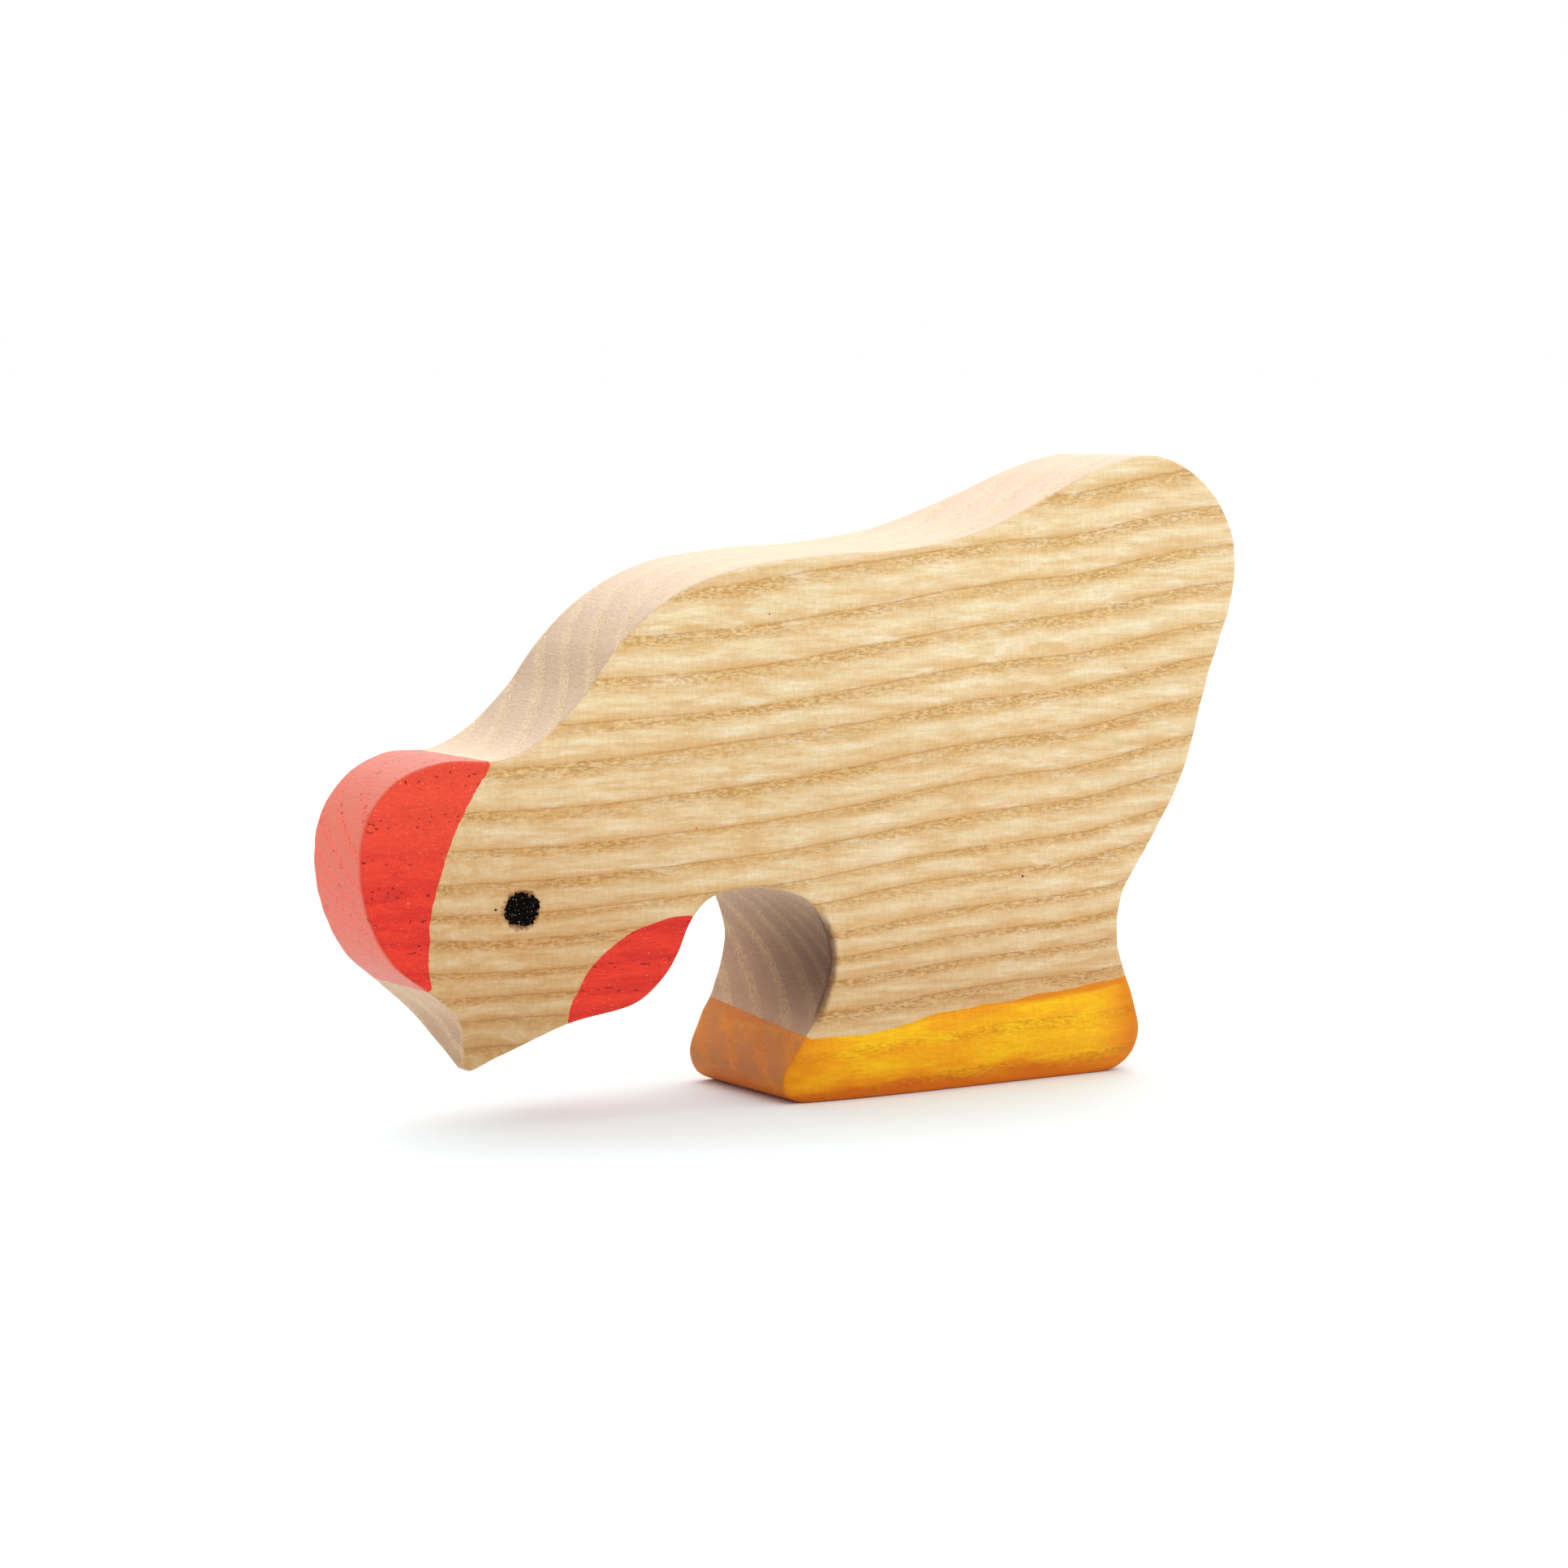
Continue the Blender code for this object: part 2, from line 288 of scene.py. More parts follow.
def face_points(loop, regions):
    """Staggered points inside the loop, closer together in the eye, clear of every line."""
    low, high = loop.min(axis=0), loop.max(axis=0)
    rows = np.arange(low[1], high[1], MESH_STEP * 0.87)
    columns = np.arange(low[0], high[0], MESH_STEP)
    grid = np.array([(x + (j % 2) * MESH_STEP / 2, z) for j, z in enumerate(rows) for x in columns])
    eye = regions["eye"]
    reach = np.arange(-EYE_RADIUS * 1.3, EYE_RADIUS * 1.3, EYE_STEP)
    fine = np.array([(x, z) for x in reach for z in reach]) + EYE_CENTRE
    fine = fine[inside(fine, eye)]
    grid = grid[inside(grid, loop) & ~inside(grid, eye)]
    for line in [loop] + list(regions.values()):
        grid = grid[distance_to_line(grid, line) > CLEARANCE * MESH_STEP]
    fine = fine[distance_to_line(fine, eye) > CLEARANCE * EYE_STEP]
    return np.vstack([grid, fine])


def fill_face(loop, regions):
    """Triangles that fill the loop and follow the stain lines."""
    points = [Vector(point) for point in loop]
    edges = []
    for region in regions.values():
        start = len(points)
        count = len(region)
        points += [Vector(point) for point in region]
        edges += [(start + i, start + (i + 1) % count) for i in range(count)]
    points += [Vector(point) for point in face_points(loop, regions)]
    filled = delaunay_2d_cdt(points, edges, [list(range(len(loop)))], 0, 1e-6)
    flat = np.array([tuple(point) for point in filled[0]])
    triangles = np.array([face for face in filled[2] if len(face) == 3])
    middle = flat[triangles].mean(axis=1)
    triangles = triangles[inside(middle, loop)]
    used = np.unique(triangles)
    order = np.full(len(flat), -1)
    order[used] = np.arange(len(used))
    return flat[used], order[triangles]


def border(triangles):
    """The points round the edge of a sheet of triangles, in order."""
    sides = np.vstack([triangles[:, [0, 1]], triangles[:, [1, 2]], triangles[:, [2, 0]]])
    directed = {(a, b) for a, b in sides.tolist()}
    following = {a: b for a, b in directed if (b, a) not in directed}
    here = start = min(following)
    ring = []
    while True:
        ring.append(here)
        here = following[here]
        if here == start:
            return np.array(ring)


def label_of(points, regions):
    """The number of the coat that covers each place in the side view, or 0 for bare wood."""
    labels = np.zeros(len(points), int)
    for number, name in enumerate(regions, start=1):
        labels[inside(points, regions[name])] = number
    return labels


def slide_toe(points, outline):
    """Move the far side's points along the toe, where the foot's stain ends higher up."""
    side = points[:, [0, 2]]
    place, direction = nearest_on_line(side, outline)
    away = np.linalg.norm(side - place, axis=1)
    reach = np.linalg.norm(place - np.array(TOE_STAIN), axis=1)
    across = np.clip(0.5 + points[:, 1] / 17.0, 0.0, 1.0)
    amount = TOE_RISE * np.exp(-(reach / TOE_REACH) ** 2 - away / 3.0) * across
    moved = direction * amount[:, None]
    upwards = np.where(moved[:, 1:] < 0.0, -1.0, 1.0)
    points[:, [0, 2]] += moved * upwards


def face_loop(outline):
    """The edge of the flat part of each face, inside the eased edge, as evenly spaced points."""
    loop = spaced(outline, MESH_STEP)
    ahead = np.roll(loop, -1, axis=0) - np.roll(loop, 1, axis=0)
    ahead /= np.linalg.norm(ahead, axis=1)[:, None]
    return loop + EDGE * np.stack([-ahead[:, 1], ahead[:, 0]], axis=1)


def rim_rows(edge, outline):
    """Rows of points round the rim, from the left face over both eased edges to the right face."""
    direction = nearest_on_line(edge, outline)[1]
    outward = np.stack([direction[:, 1], -direction[:, 0]], axis=1)
    edge_half = half_thickness(edge[:, 0], edge[:, 1])
    eased = []
    for turn in np.linspace(0.0, math.pi / 2, EDGE_STEPS + 1)[1:]:
        spot = edge + outward * EDGE * math.sin(turn)
        depth = -(edge_half - EDGE * (1.0 - math.cos(turn)))
        eased.append(np.stack([spot[:, 0], depth, spot[:, 1]], axis=1))
    across = round(2 * BELLY_HALF / MESH_STEP)
    near, far = eased[-1], eased[-1] * MIRROR
    middle = [near + (far - near) * i / across for i in range(1, across)]
    return eased + middle + [row * MIRROR for row in reversed(eased)]


def rim_strips(strips):
    """Triangles that join each row of the rim to the next, as numbers of points."""
    after = np.roll(np.arange(len(strips[0])), -1)
    triangles = []
    for row, following in zip(strips, strips[1:]):
        a, b, c, d = row, row[after], following[after], following
        triangles += [np.stack([a, c, b], axis=1), np.stack([a, d, c], axis=1)]
    return triangles


def hen_surface(outline, regions):
    """The whole hen as one closed surface: points, triangles and the coat on each triangle."""
    loop = face_loop(outline)
    flat, triangles = fill_face(loop, regions)
    corners = flat[triangles]
    turn = np.cross(corners[:, 1] - corners[:, 0], corners[:, 2] - corners[:, 0])
    triangles[turn < 0] = triangles[turn < 0][:, ::-1]
    ring = border(triangles)
    edge = flat[ring]
    count = len(flat)

    half = half_thickness(flat[:, 0], flat[:, 1])
    left = np.stack([flat[:, 0], -half, flat[:, 1]], axis=1)
    rows = rim_rows(edge, outline)
    points = np.vstack([left, left * MIRROR] + rows)
    slide_toe(points, outline)
    strips = [ring] + [2 * count + len(ring) * i + np.arange(len(ring)) for i in range(len(rows))]
    rim_triangles = rim_strips(strips + [count + ring])

    left_labels = label_of(corners.mean(axis=1), regions)
    right_labels = left_labels.copy()
    eye = 1 + list(regions).index("eye")
    right_labels[left_labels == eye] = eye + 1
    rim_labels = label_of((edge + np.roll(edge, -1, axis=0)) / 2, regions)
    everything = np.vstack([triangles, (triangles + count)[:, ::-1]] + rim_triangles)
    labels = np.concatenate([left_labels, right_labels] + [rim_labels] * len(rim_triangles))
    return points, everything, labels


def point_normals(points, triangles):
    """Normals at the points of a surface, averaged over its triangles by area."""
    a, b, c = (points[triangles[:, i]] for i in range(3))
    cross = np.cross(b - a, c - a)
    normals = np.zeros_like(points)
    for i in range(3):
        np.add.at(normals, triangles[:, i], cross)
    return normals / np.maximum(np.linalg.norm(normals, axis=1), 1e-12)[:, None]


def smooth_noise(points, scale, seed):
    """Noise from -1 to 1 at each point, with its own scale along each axis."""
    places = points * scale + seed
    return np.array([noise.noise(place) for place in places.tolist()])


def ring_number(points, half):
    """Which growth ring each point is in, counted upwards, with the place within the ring."""
    x, y, z = points.T
    tilt = 0.6 + 0.4 * ease((z - 12.0) / 16.0)
    rise = (RING_BEND * np.tanh(x / 20.0) + TAIL_BEND * ease((x - 24.0) / 22.0)) * tilt
    height = z - rise - RING_SLOPE * (y + half)
    height = height + 0.35 * smooth_noise(points, np.array([0.05, 0.10, 0.10]), 4.0)
    lines = LOWEST_RING + np.r_[0.0, np.cumsum(RING_WIDTHS)]
    return np.interp(height, lines, np.arange(len(lines)))


def describe(points, triangles, outline):
    """What the materials need to know at each point of the hen's surface, and its normals."""
    normals = point_normals(points, triangles)
    x, y, z = points.T
    half = half_thickness(x, z)
    side = points[:, [0, 2]]
    inward = distance_to_line(side, outline)
    leg = np.exp(-((x + 2.0) / 4.0) ** 2 - ((z - 12.5) / 5.5) ** 2)
    low_head = ease((-x - 8.0) / 22.0) * ease((34.0 - z) / 22.0)
    low_leg = 0.45 * ease((x + 12.0) / 10.0) * ease((20.0 - z) / 12.0)
    return {
        "ring": ring_number(points, half),
        "end_grain": normals[:, 0] ** 2,
        "rim": 1.0 - np.abs(normals[:, 1]),
        "eye_distance": np.hypot(x - EYE_CENTRE[0], z - EYE_CENTRE[1]),
        "edge_gap": inward + np.maximum(half - np.abs(y), 0.0),
        # where painted shade falls on the rim in front of the leg, under the head, and where the saw
        # scorched that edge
        "leg_shade_and_scorch": leg * ease((half - y) / (2.0 * half)),
        # high low on the head and on the leg, low high up on the body
        "tone": low_head + low_leg - 0.6 * ease((z - 26.0) / 26.0),
    }, normals


def closed_piece(points, outer, floor, normals, depth, values):
    """A closed piece: triangles on the hen's surface, others set back by a depth, and walls between."""
    sides = np.vstack([floor[:, [0, 1]], floor[:, [1, 2]], floor[:, [2, 0]]])
    directed = {(a, b) for a, b in sides.tolist()}
    a, b = np.array([(a, b) for a, b in sorted(directed) if (b, a) not in directed]).T
    offset = len(points)
    lower = np.stack([a, b, b + offset], axis=1)
    upper = np.stack([a, b + offset, a + offset], axis=1)
    everything = np.vstack([outer, floor + offset, lower, upper])
    both = np.vstack([points, points - normals * depth])
    used = np.unique(everything)
    order = np.full(len(both), -1)
    order[used] = np.arange(len(used))
    doubled = {name: np.r_[value, value][used] for name, value in values.items()}
    return both[used], order[everything], doubled


def add_piece(name, points, triangles, values, material):
    """Make a mesh object from points in millimetres, with its values and its material."""
    mesh = bpy.data.meshes.new(name)
    mesh.vertices.add(len(points))
    mesh.vertices.foreach_set("co", (points * MM).ravel().astype(np.float32))
    mesh.loops.add(3 * len(triangles))
    mesh.loops.foreach_set("vertex_index", triangles.ravel().astype(np.int32))
    mesh.polygons.add(len(triangles))
    mesh.polygons.foreach_set("loop_start", np.arange(0, 3 * len(triangles), 3, dtype=np.int32))
    mesh.update(calc_edges=True)
    mesh.validate()
    for label, value in values.items():
        layer = mesh.attributes.new(label, "FLOAT", "POINT")
        layer.data.foreach_set("value", value.astype(np.float32))
    mesh.materials.append(material)
    mesh.shade_smooth()
    mesh.set_sharp_from_angle(angle=math.radians(SHARP_ANGLE))
    piece = bpy.data.objects.new(name, mesh)
    bpy.context.collection.objects.link(piece)
    return piece


def linear(red, green, blue):
    """A colour given as the eye sees it, from 0 to 255, in the light that it stands for."""
    parts = [value / 255 for value in (red, green, blue)]
    return tuple(v / 12.92 if v < 0.04045 else ((v + 0.055) / 1.055) ** 2.4 for v in parts)


class Pattern:
    """A material whose texture is written as short formulas, one node for each step."""

    def __init__(self, name):
        self.material = bpy.data.materials.new(name)
        self.material.use_nodes = True
        self.nodes = self.material.node_tree.nodes
        self.links = self.material.node_tree.links
        self.shader = self.nodes["Principled BSDF"]
        self.place = self.nodes.new("ShaderNodeTexCoord").outputs["Object"]

    def feed(self, socket, value):
        """Connect another node's result to a socket, or set a plain value on it."""
        if isinstance(value, bpy.types.NodeSocket):
            self.links.new(value, socket)
        elif isinstance(value, tuple) and len(value) == 3 and socket.type == "RGBA":
            socket.default_value = (*value, 1.0)
        else:
            socket.default_value = value

    def value(self, name):
        """A value that the mesh carries on its points."""
        node = self.nodes.new("ShaderNodeAttribute")
        node.attribute_name = name
        return node.outputs["Fac"]

    def math(self, operation, first, second=0.0, third=0.0):
        """One step of arithmetic."""
        node = self.nodes.new("ShaderNodeMath")
        node.operation = operation
        for socket, value in zip(node.inputs, (first, second, third)):
            self.feed(socket, value)
        return node.outputs[0]

    def span(self, value, low, high, start=0.0, end=1.0):
        """Map a value from one range to another, smoothly and without going past its ends."""
        node = self.nodes.new("ShaderNodeMapRange")
        node.interpolation_type = "SMOOTHSTEP"
        for name, item in zip(("Value", "From Min", "From Max", "To Min", "To Max"),
                              (value, low, high, start, end)):
            self.feed(node.inputs[name], item)
        return node.outputs["Result"]

    def noise(self, per_mm, detail=3.0, roughness=0.55, shift=0.0, distortion=0.0):
        """Noise from 0 to 1, with its own number of waves per millimetre along each axis."""
        mapping = self.nodes.new("ShaderNodeMapping")
        self.links.new(self.place, mapping.inputs["Vector"])
        mapping.inputs["Scale"].default_value = tuple(rate / MM for rate in per_mm)
        mapping.inputs["Location"].default_value = (shift, shift * 0.7, shift * 1.3)
        node = self.nodes.new("ShaderNodeTexNoise")
        self.links.new(mapping.outputs["Vector"], node.inputs["Vector"])
        node.inputs["Scale"].default_value = 1.0
        node.inputs["Detail"].default_value = detail
        node.inputs["Roughness"].default_value = roughness
        node.inputs["Distortion"].default_value = distortion
        return node.outputs["Fac"]

    def axis(self, name):
        """One coordinate of the place on the hen, in metres."""
        node = self.nodes.new("ShaderNodeSeparateXYZ")
        self.links.new(self.place, node.inputs[0])
        return node.outputs[name]

    def spot(self, centre, radius):
        """A small soft-edged round mark on the left face, in millimetres in the side view."""
        away = self.nodes.new("ShaderNodeVectorMath")
        away.operation = "SUBTRACT"
        self.links.new(self.place, away.inputs[0])
        away.inputs[1].default_value = (centre[0] * MM, -0.010, centre[1] * MM)
        flat = self.nodes.new("ShaderNodeVectorMath")
        flat.operation = "MULTIPLY"
        self.links.new(away.outputs[0], flat.inputs[0])
        flat.inputs[1].default_value = (1.0, 0.03, 1.2)
        size = self.nodes.new("ShaderNodeVectorMath")
        size.operation = "LENGTH"
        self.links.new(flat.outputs[0], size.inputs[0])
        return self.span(size.outputs["Value"], radius * 1.3 * MM, radius * 0.7 * MM)

    def mix(self, amount, first, second, mode="MIX"):
        """Mix two colours."""
        node = self.nodes.new("ShaderNodeMix")
        node.data_type = "RGBA"
        node.blend_type = mode
        self.feed(node.inputs["Factor"], amount)
        colours = [socket for socket in node.inputs if socket.type == "RGBA"]
        self.feed(colours[0], first)
        self.feed(colours[1], second)
        return next(socket for socket in node.outputs if socket.type == "RGBA")

    def ramp(self, value, stops):
        """A colour that follows a value through stops of place and colour."""
        node = self.nodes.new("ShaderNodeValToRGB")
        self.feed(node.inputs["Fac"], value)
        elements = node.color_ramp.elements
        while len(elements) < len(stops):
            elements.new(1.0)
        for element, (place, colour) in zip(elements, stops):
            element.position = place
            element.color = (*colour, 1.0)
        return node.outputs["Color"]

    def bump(self, height, depth, under=None):
        """Relief of a height from 0 to 1 and a depth in millimetres, over any relief below it."""
        node = self.nodes.new("ShaderNodeBump")
        node.inputs["Strength"].default_value = 1.0
        node.inputs["Distance"].default_value = depth * MM
        self.feed(node.inputs["Height"], height)
        if under is not None:
            self.feed(node.inputs["Normal"], under)
        return node.outputs["Normal"]

    def finish(self, colour, roughness, normal, **settings):
        """Connect the results to the shader and set its plain values."""
        self.feed(self.shader.inputs["Base Color"], colour)
        self.feed(self.shader.inputs["Roughness"], roughness)
        self.feed(self.shader.inputs["Normal"], normal)
        for name, value in settings.items():
            self.shader.inputs[name.replace("_", " ")].default_value = value
        return self.material


def grain_fields(pattern):
    """The parts of the ash grain that every finish shows."""
    drift = pattern.noise((0.05, 0.20, 0.20), detail=1.0, shift=2.0)
    wobble = pattern.noise((0.50, 2.6, 2.6), detail=4.0, roughness=0.65, shift=5.0)
    ring = pattern.math("MULTIPLY_ADD", drift, 0.15, pattern.value("ring"))
    ring = pattern.math("MULTIPLY_ADD", wobble, 0.11, ring)
    phase = pattern.math("FRACT", ring)
    patches = pattern.noise((0.10, 0.35, 0.35), detail=3.0, shift=8.0)
    above = pattern.span(phase, 0.045, 0.0)
    below = pattern.span(phase, 0.955, 1.0)
    line = pattern.math("MAXIMUM", above, below)
    line = pattern.math("MULTIPLY", line, pattern.span(patches, 0.35, 0.60, 0.35, 1.0))
    early = pattern.span(phase, 0.55, 0.86)
    early = pattern.math("MULTIPLY", early, pattern.span(patches, 0.66, 0.38, 0.45, 1.0))
    streaks = pattern.noise((0.15, 1.3, 1.3), detail=5.0, roughness=0.62, shift=11.0)
    fibres = pattern.noise((0.8, 8.5, 8.5), detail=3.0, roughness=0.7, shift=17.0)
    # the silk figure: as relief it catches a sheen, and where it tints the colour the sheen is painted
    silk_sheen = pattern.noise((4.2, 0.9, 0.9), detail=3.0, roughness=0.7, shift=23.0)
    dashes = pattern.noise((1.5, 5.5, 5.5), detail=3.0, roughness=0.6, shift=31.0, distortion=0.4)
    grains = pattern.math("MULTIPLY", pattern.span(dashes, 0.50, 0.62), early)
    pale = pattern.math("MULTIPLY", pattern.span(dashes, 0.42, 0.34), early)
    fine = pattern.noise((2.6, 2.6, 2.6), detail=3.0, roughness=0.6, shift=19.0)
    return {
        "phase": phase,
        "line": line,
        "early": early,
        "streaks": streaks,
        "fibres": fibres,
        "silk_sheen": silk_sheen,
        "grains": grains,
        "pale": pale,
        "fine": fine,
        "end": pattern.value("end_grain"),
        "rim": pattern.span(pattern.value("rim"), 0.25, 0.75),
    }


def end_bands(pattern, grain):
    """Where the rim shows open early wood, which is lighter than the dense wood between."""
    coarse = pattern.noise((2.6, 1.4, 2.6), detail=5.0, roughness=0.8, shift=37.0)
    ragged = pattern.math("MULTIPLY_ADD", coarse, 0.36, grain["phase"])
    rising = pattern.span(ragged, 0.66, 0.94)
    falling = pattern.span(ragged, 1.26, 1.14)
    dots = pattern.span(pattern.noise((3.6, 3.6, 3.6), detail=2.0, shift=39.0), 0.36, 0.62, 0.25, 1.0)
    band = pattern.math("MULTIPLY", rising, falling)
    return pattern.math("MULTIPLY", band, dots)


def sanding(pattern):
    """Short fine ridges that run across the board, left on its rim by the saw and the sander."""
    return pattern.noise((4.0, 0.7, 4.0), detail=3.0, roughness=0.65, shift=43.0)


def wood_face(pattern, grain):
    """The colour of bare ash on the flat faces: pale and golden bands, ring lines, pores, stripes of
    painted sheen along the silk figure, and a darker tint low on the head and the leg.
    """
    base = pattern.ramp(grain["phase"], (
        (0.00, linear(226, 185, 128)),
        (0.06, linear(229, 192, 138)),
        (0.18, linear(236, 205, 156)),
        (0.42, linear(241, 217, 173)),
        (0.62, linear(238, 209, 160)),
        (1.00, linear(231, 195, 139)),
    ))
    streaks = pattern.span(grain["streaks"], 0.44, 0.66)
    pale = pattern.span(grain["streaks"], 0.46, 0.34)
    layers = (
        (streaks, 0.54, linear(220, 168, 94)),
        (pale, 0.52, linear(250, 236, 208)),
        (grain["early"], 0.44, linear(222, 168, 88)),
        (grain["grains"], 0.62, linear(206, 142, 58)),
        (grain["pale"], 0.50, linear(250, 228, 180)),
        (grain["line"], 0.54, linear(192, 132, 64)),
    )
    colour = base
    for where, strength, tint in layers:
        colour = pattern.mix(pattern.math("MULTIPLY", where, strength), colour, tint)
    fibres = pattern.span(grain["fibres"], 0.32, 0.68, 0.935, 1.04)
    # painted sheen: faint light and dark stripes along the silk figure
    silk_sheen = pattern.span(grain["silk_sheen"], 0.32, 0.68, 0.95, 1.04)
    colour = pattern.mix(1.0, colour, pattern.math("MULTIPLY", fibres, silk_sheen), "MULTIPLY")
    # a darker, browner tint where tone is high: low on the head and on the leg, and less of it high up
    darker_tint = pattern.mix(1.0, colour, linear(228, 210, 190), "MULTIPLY")
    return pattern.mix(pattern.span(pattern.value("tone"), -0.6, 1.0), colour, darker_tint)


def wood_rim(pattern, grain):
    """The colour of bare ash on the rim: bands of open and dense wood, darker where they end, and a pale
    pinkish tint that is partly painted glare.
    """
    bands = end_bands(pattern, grain)
    grit = pattern.noise((6.0, 6.0, 6.0), detail=2.0, shift=47.0)
    specks = pattern.span(grit, 0.30, 0.70, 0.84, 1.15)
    # the pale pinkish colour where the rim faces up is partly painted glare from the light above and
    # behind; the darker end grain and the bands are the wood's own
    dense = pattern.mix(grain["end"], linear(229, 201, 174), linear(174, 138, 109))
    open_wood = pattern.mix(grain["end"], linear(240, 215, 179), linear(213, 179, 135))
    rim = pattern.mix(bands, dense, open_wood)
    rim = pattern.mix(1.0, rim, specks, "MULTIPLY")
    # the rim also darkens a little low on the head and on the leg
    warm = pattern.mix(1.0, rim, linear(255, 245, 233), "MULTIPLY")
    return pattern.mix(pattern.span(pattern.value("tone"), 0.0, 0.8), rim, warm)


def make_wood():
    """Bare ash with a thin oil, scorched where the saw turned in front of the leg, and with painted
    shade on the rim in front of the leg, under the head.
    """
    pattern = Pattern("ash_wood")
    grain = grain_fields(pattern)
    colour = wood_face(pattern, grain)
    rim = wood_rim(pattern, grain)
    # the rim's colour, with its painted glare, laid over the faces
    colour = pattern.mix(pattern.math("MULTIPLY", grain["rim"], 0.92), colour, rim)
    # painted shade: the rim in front of the leg, under the head, is darkened towards grey-brown
    shaded = pattern.mix(1.0, colour, linear(150, 134, 122), "MULTIPLY")
    shading = pattern.math("MULTIPLY", pattern.value("leg_shade_and_scorch"), grain["rim"])
    colour = pattern.mix(shading, colour, shaded)
    colour = pattern.mix(scorched_edge(pattern), colour, linear(92, 46, 22))
    colour = add_marks(pattern, grain, colour)
    rough = pattern.span(grain["fibres"], 0.3, 0.7, 0.60, 0.46)
    relief = pattern.math("MULTIPLY_ADD", grain["grains"], -0.8, grain["fibres"])
    normal = pattern.bump(relief, 0.06)
    normal = pattern.bump(grain["silk_sheen"], 0.03, normal)
    ridges = pattern.math("MULTIPLY", sanding(pattern), grain["rim"])
    normal = pattern.bump(ridges, 0.11, normal)
    return pattern.finish(colour, rough, normal, Specular_IOR_Level=0.4)


def scorched_edge(pattern):
    """How much the saw has scorched the wood along the edge of the leg under the head."""
    rough = pattern.noise((2.0, 2.0, 2.0), detail=3.0, shift=49.0)
    gap = pattern.math("MULTIPLY_ADD", rough, 0.35, pattern.value("edge_gap"))
    near = pattern.span(gap, 0.95, 0.35)
    return pattern.math("MULTIPLY", near, pattern.span(pattern.value("leg_shade_and_scorch"), 0.25, 0.70, 0.0, 0.85))


def add_marks(pattern, grain, colour):
    """The scorched ring round each eye, and a few small pores and specks on the left face."""
    ragged = pattern.math("MULTIPLY_ADD", grain["fine"], 1.1, pattern.value("eye_distance"))
    colour = pattern.mix(pattern.span(ragged, 2.55, 2.10), colour, linear(132, 80, 34))
    marks = (
        ((-34.2, 19.6), 0.16, linear(24, 14, 8)),
        ((-33.8, 18.3), 0.09, linear(70, 40, 20)),
        ((20.0, 19.4), 0.14, linear(48, 24, 12)),
        ((-14.5, 25.7), 0.12, linear(214, 70, 44)),
        ((-7.5, 44.6), 0.10, linear(150, 96, 44)),
        ((33.0, 38.2), 0.12, linear(168, 112, 54)),
    )
    for centre, radius, tint in marks:
        spot = pattern.spot(centre, radius)
        colour = pattern.mix(spot, colour, tint)
    return colour


def make_red():
    """Red stain, thin enough for the grain to show, with open pores, a rim made paler partly by painted
    glare, and a few pale specks painted as glints.
    """
    pattern = Pattern("red_stain")
    grain = grain_fields(pattern)
    base = pattern.ramp(grain["phase"], (
        (0.00, linear(220, 42, 25)),
        (0.10, linear(229, 50, 29)),
        (0.45, linear(236, 56, 32)),
        (0.80, linear(232, 50, 29)),
        (1.00, linear(220, 42, 25)),
    ))
    streaks = pattern.span(grain["streaks"], 0.44, 0.68)
    colour = pattern.mix(pattern.math("MULTIPLY", streaks, 0.70), base, linear(206, 30, 20))
    upper = pattern.span(pattern.axis("Z"), 19.0 * MM, 31.0 * MM, 0.0, 0.5)
    colour = pattern.mix(upper, colour, linear(246, 88, 58))
    fibres = pattern.span(grain["fibres"], 0.35, 0.65, 0.90, 1.07)
    colour = pattern.mix(1.0, colour, fibres, "MULTIPLY")
    # the rim's paler, pinker red is partly painted glare from the light above and behind, and partly the
    # bands of open and dense wood; it is palest where the rim faces up
    bands = end_bands(pattern, grain)
    rim = pattern.mix(bands, linear(234, 120, 96), linear(255, 100, 74))
    rim = pattern.mix(grain["end"], linear(212, 126, 106), rim)
    colour = pattern.mix(pattern.math("MULTIPLY", grain["rim"], 0.80), colour, rim)
    pits = pattern.noise((1.6, 4.5, 3.2), detail=1.0, shift=57.0)
    early = pattern.span(grain["phase"], 0.55, 0.75)
    pits = pattern.math("MULTIPLY", pattern.span(pits, 0.66, 0.70), early)
    colour = pattern.mix(pattern.math("MULTIPLY", pits, 0.85), colour, linear(122, 10, 12))
    # painted glints: small pale pink specks on the stain stand in for light caught by its surface
    bare = pattern.span(pattern.noise((7.5, 7.5, 7.5), detail=0.0, shift=59.0), 0.79, 0.82)
    colour = pattern.mix(pattern.math("MULTIPLY", bare, 0.60), colour, linear(247, 176, 150))
    rough = pattern.span(grain["fibres"], 0.3, 0.7, 0.50, 0.36)
    relief = pattern.math("MULTIPLY_ADD", pits, -1.5, grain["fibres"])
    normal = pattern.bump(relief, 0.07)
    ridges = pattern.math("MULTIPLY", sanding(pattern), grain["rim"])
    normal = pattern.bump(ridges, 0.12, normal)
    normal = pattern.bump(pattern.noise((5.0, 5.0, 5.0), detail=3.0, shift=41.0), 0.05, normal)
    return pattern.finish(colour, rough, normal, Specular_IOR_Level=0.25)


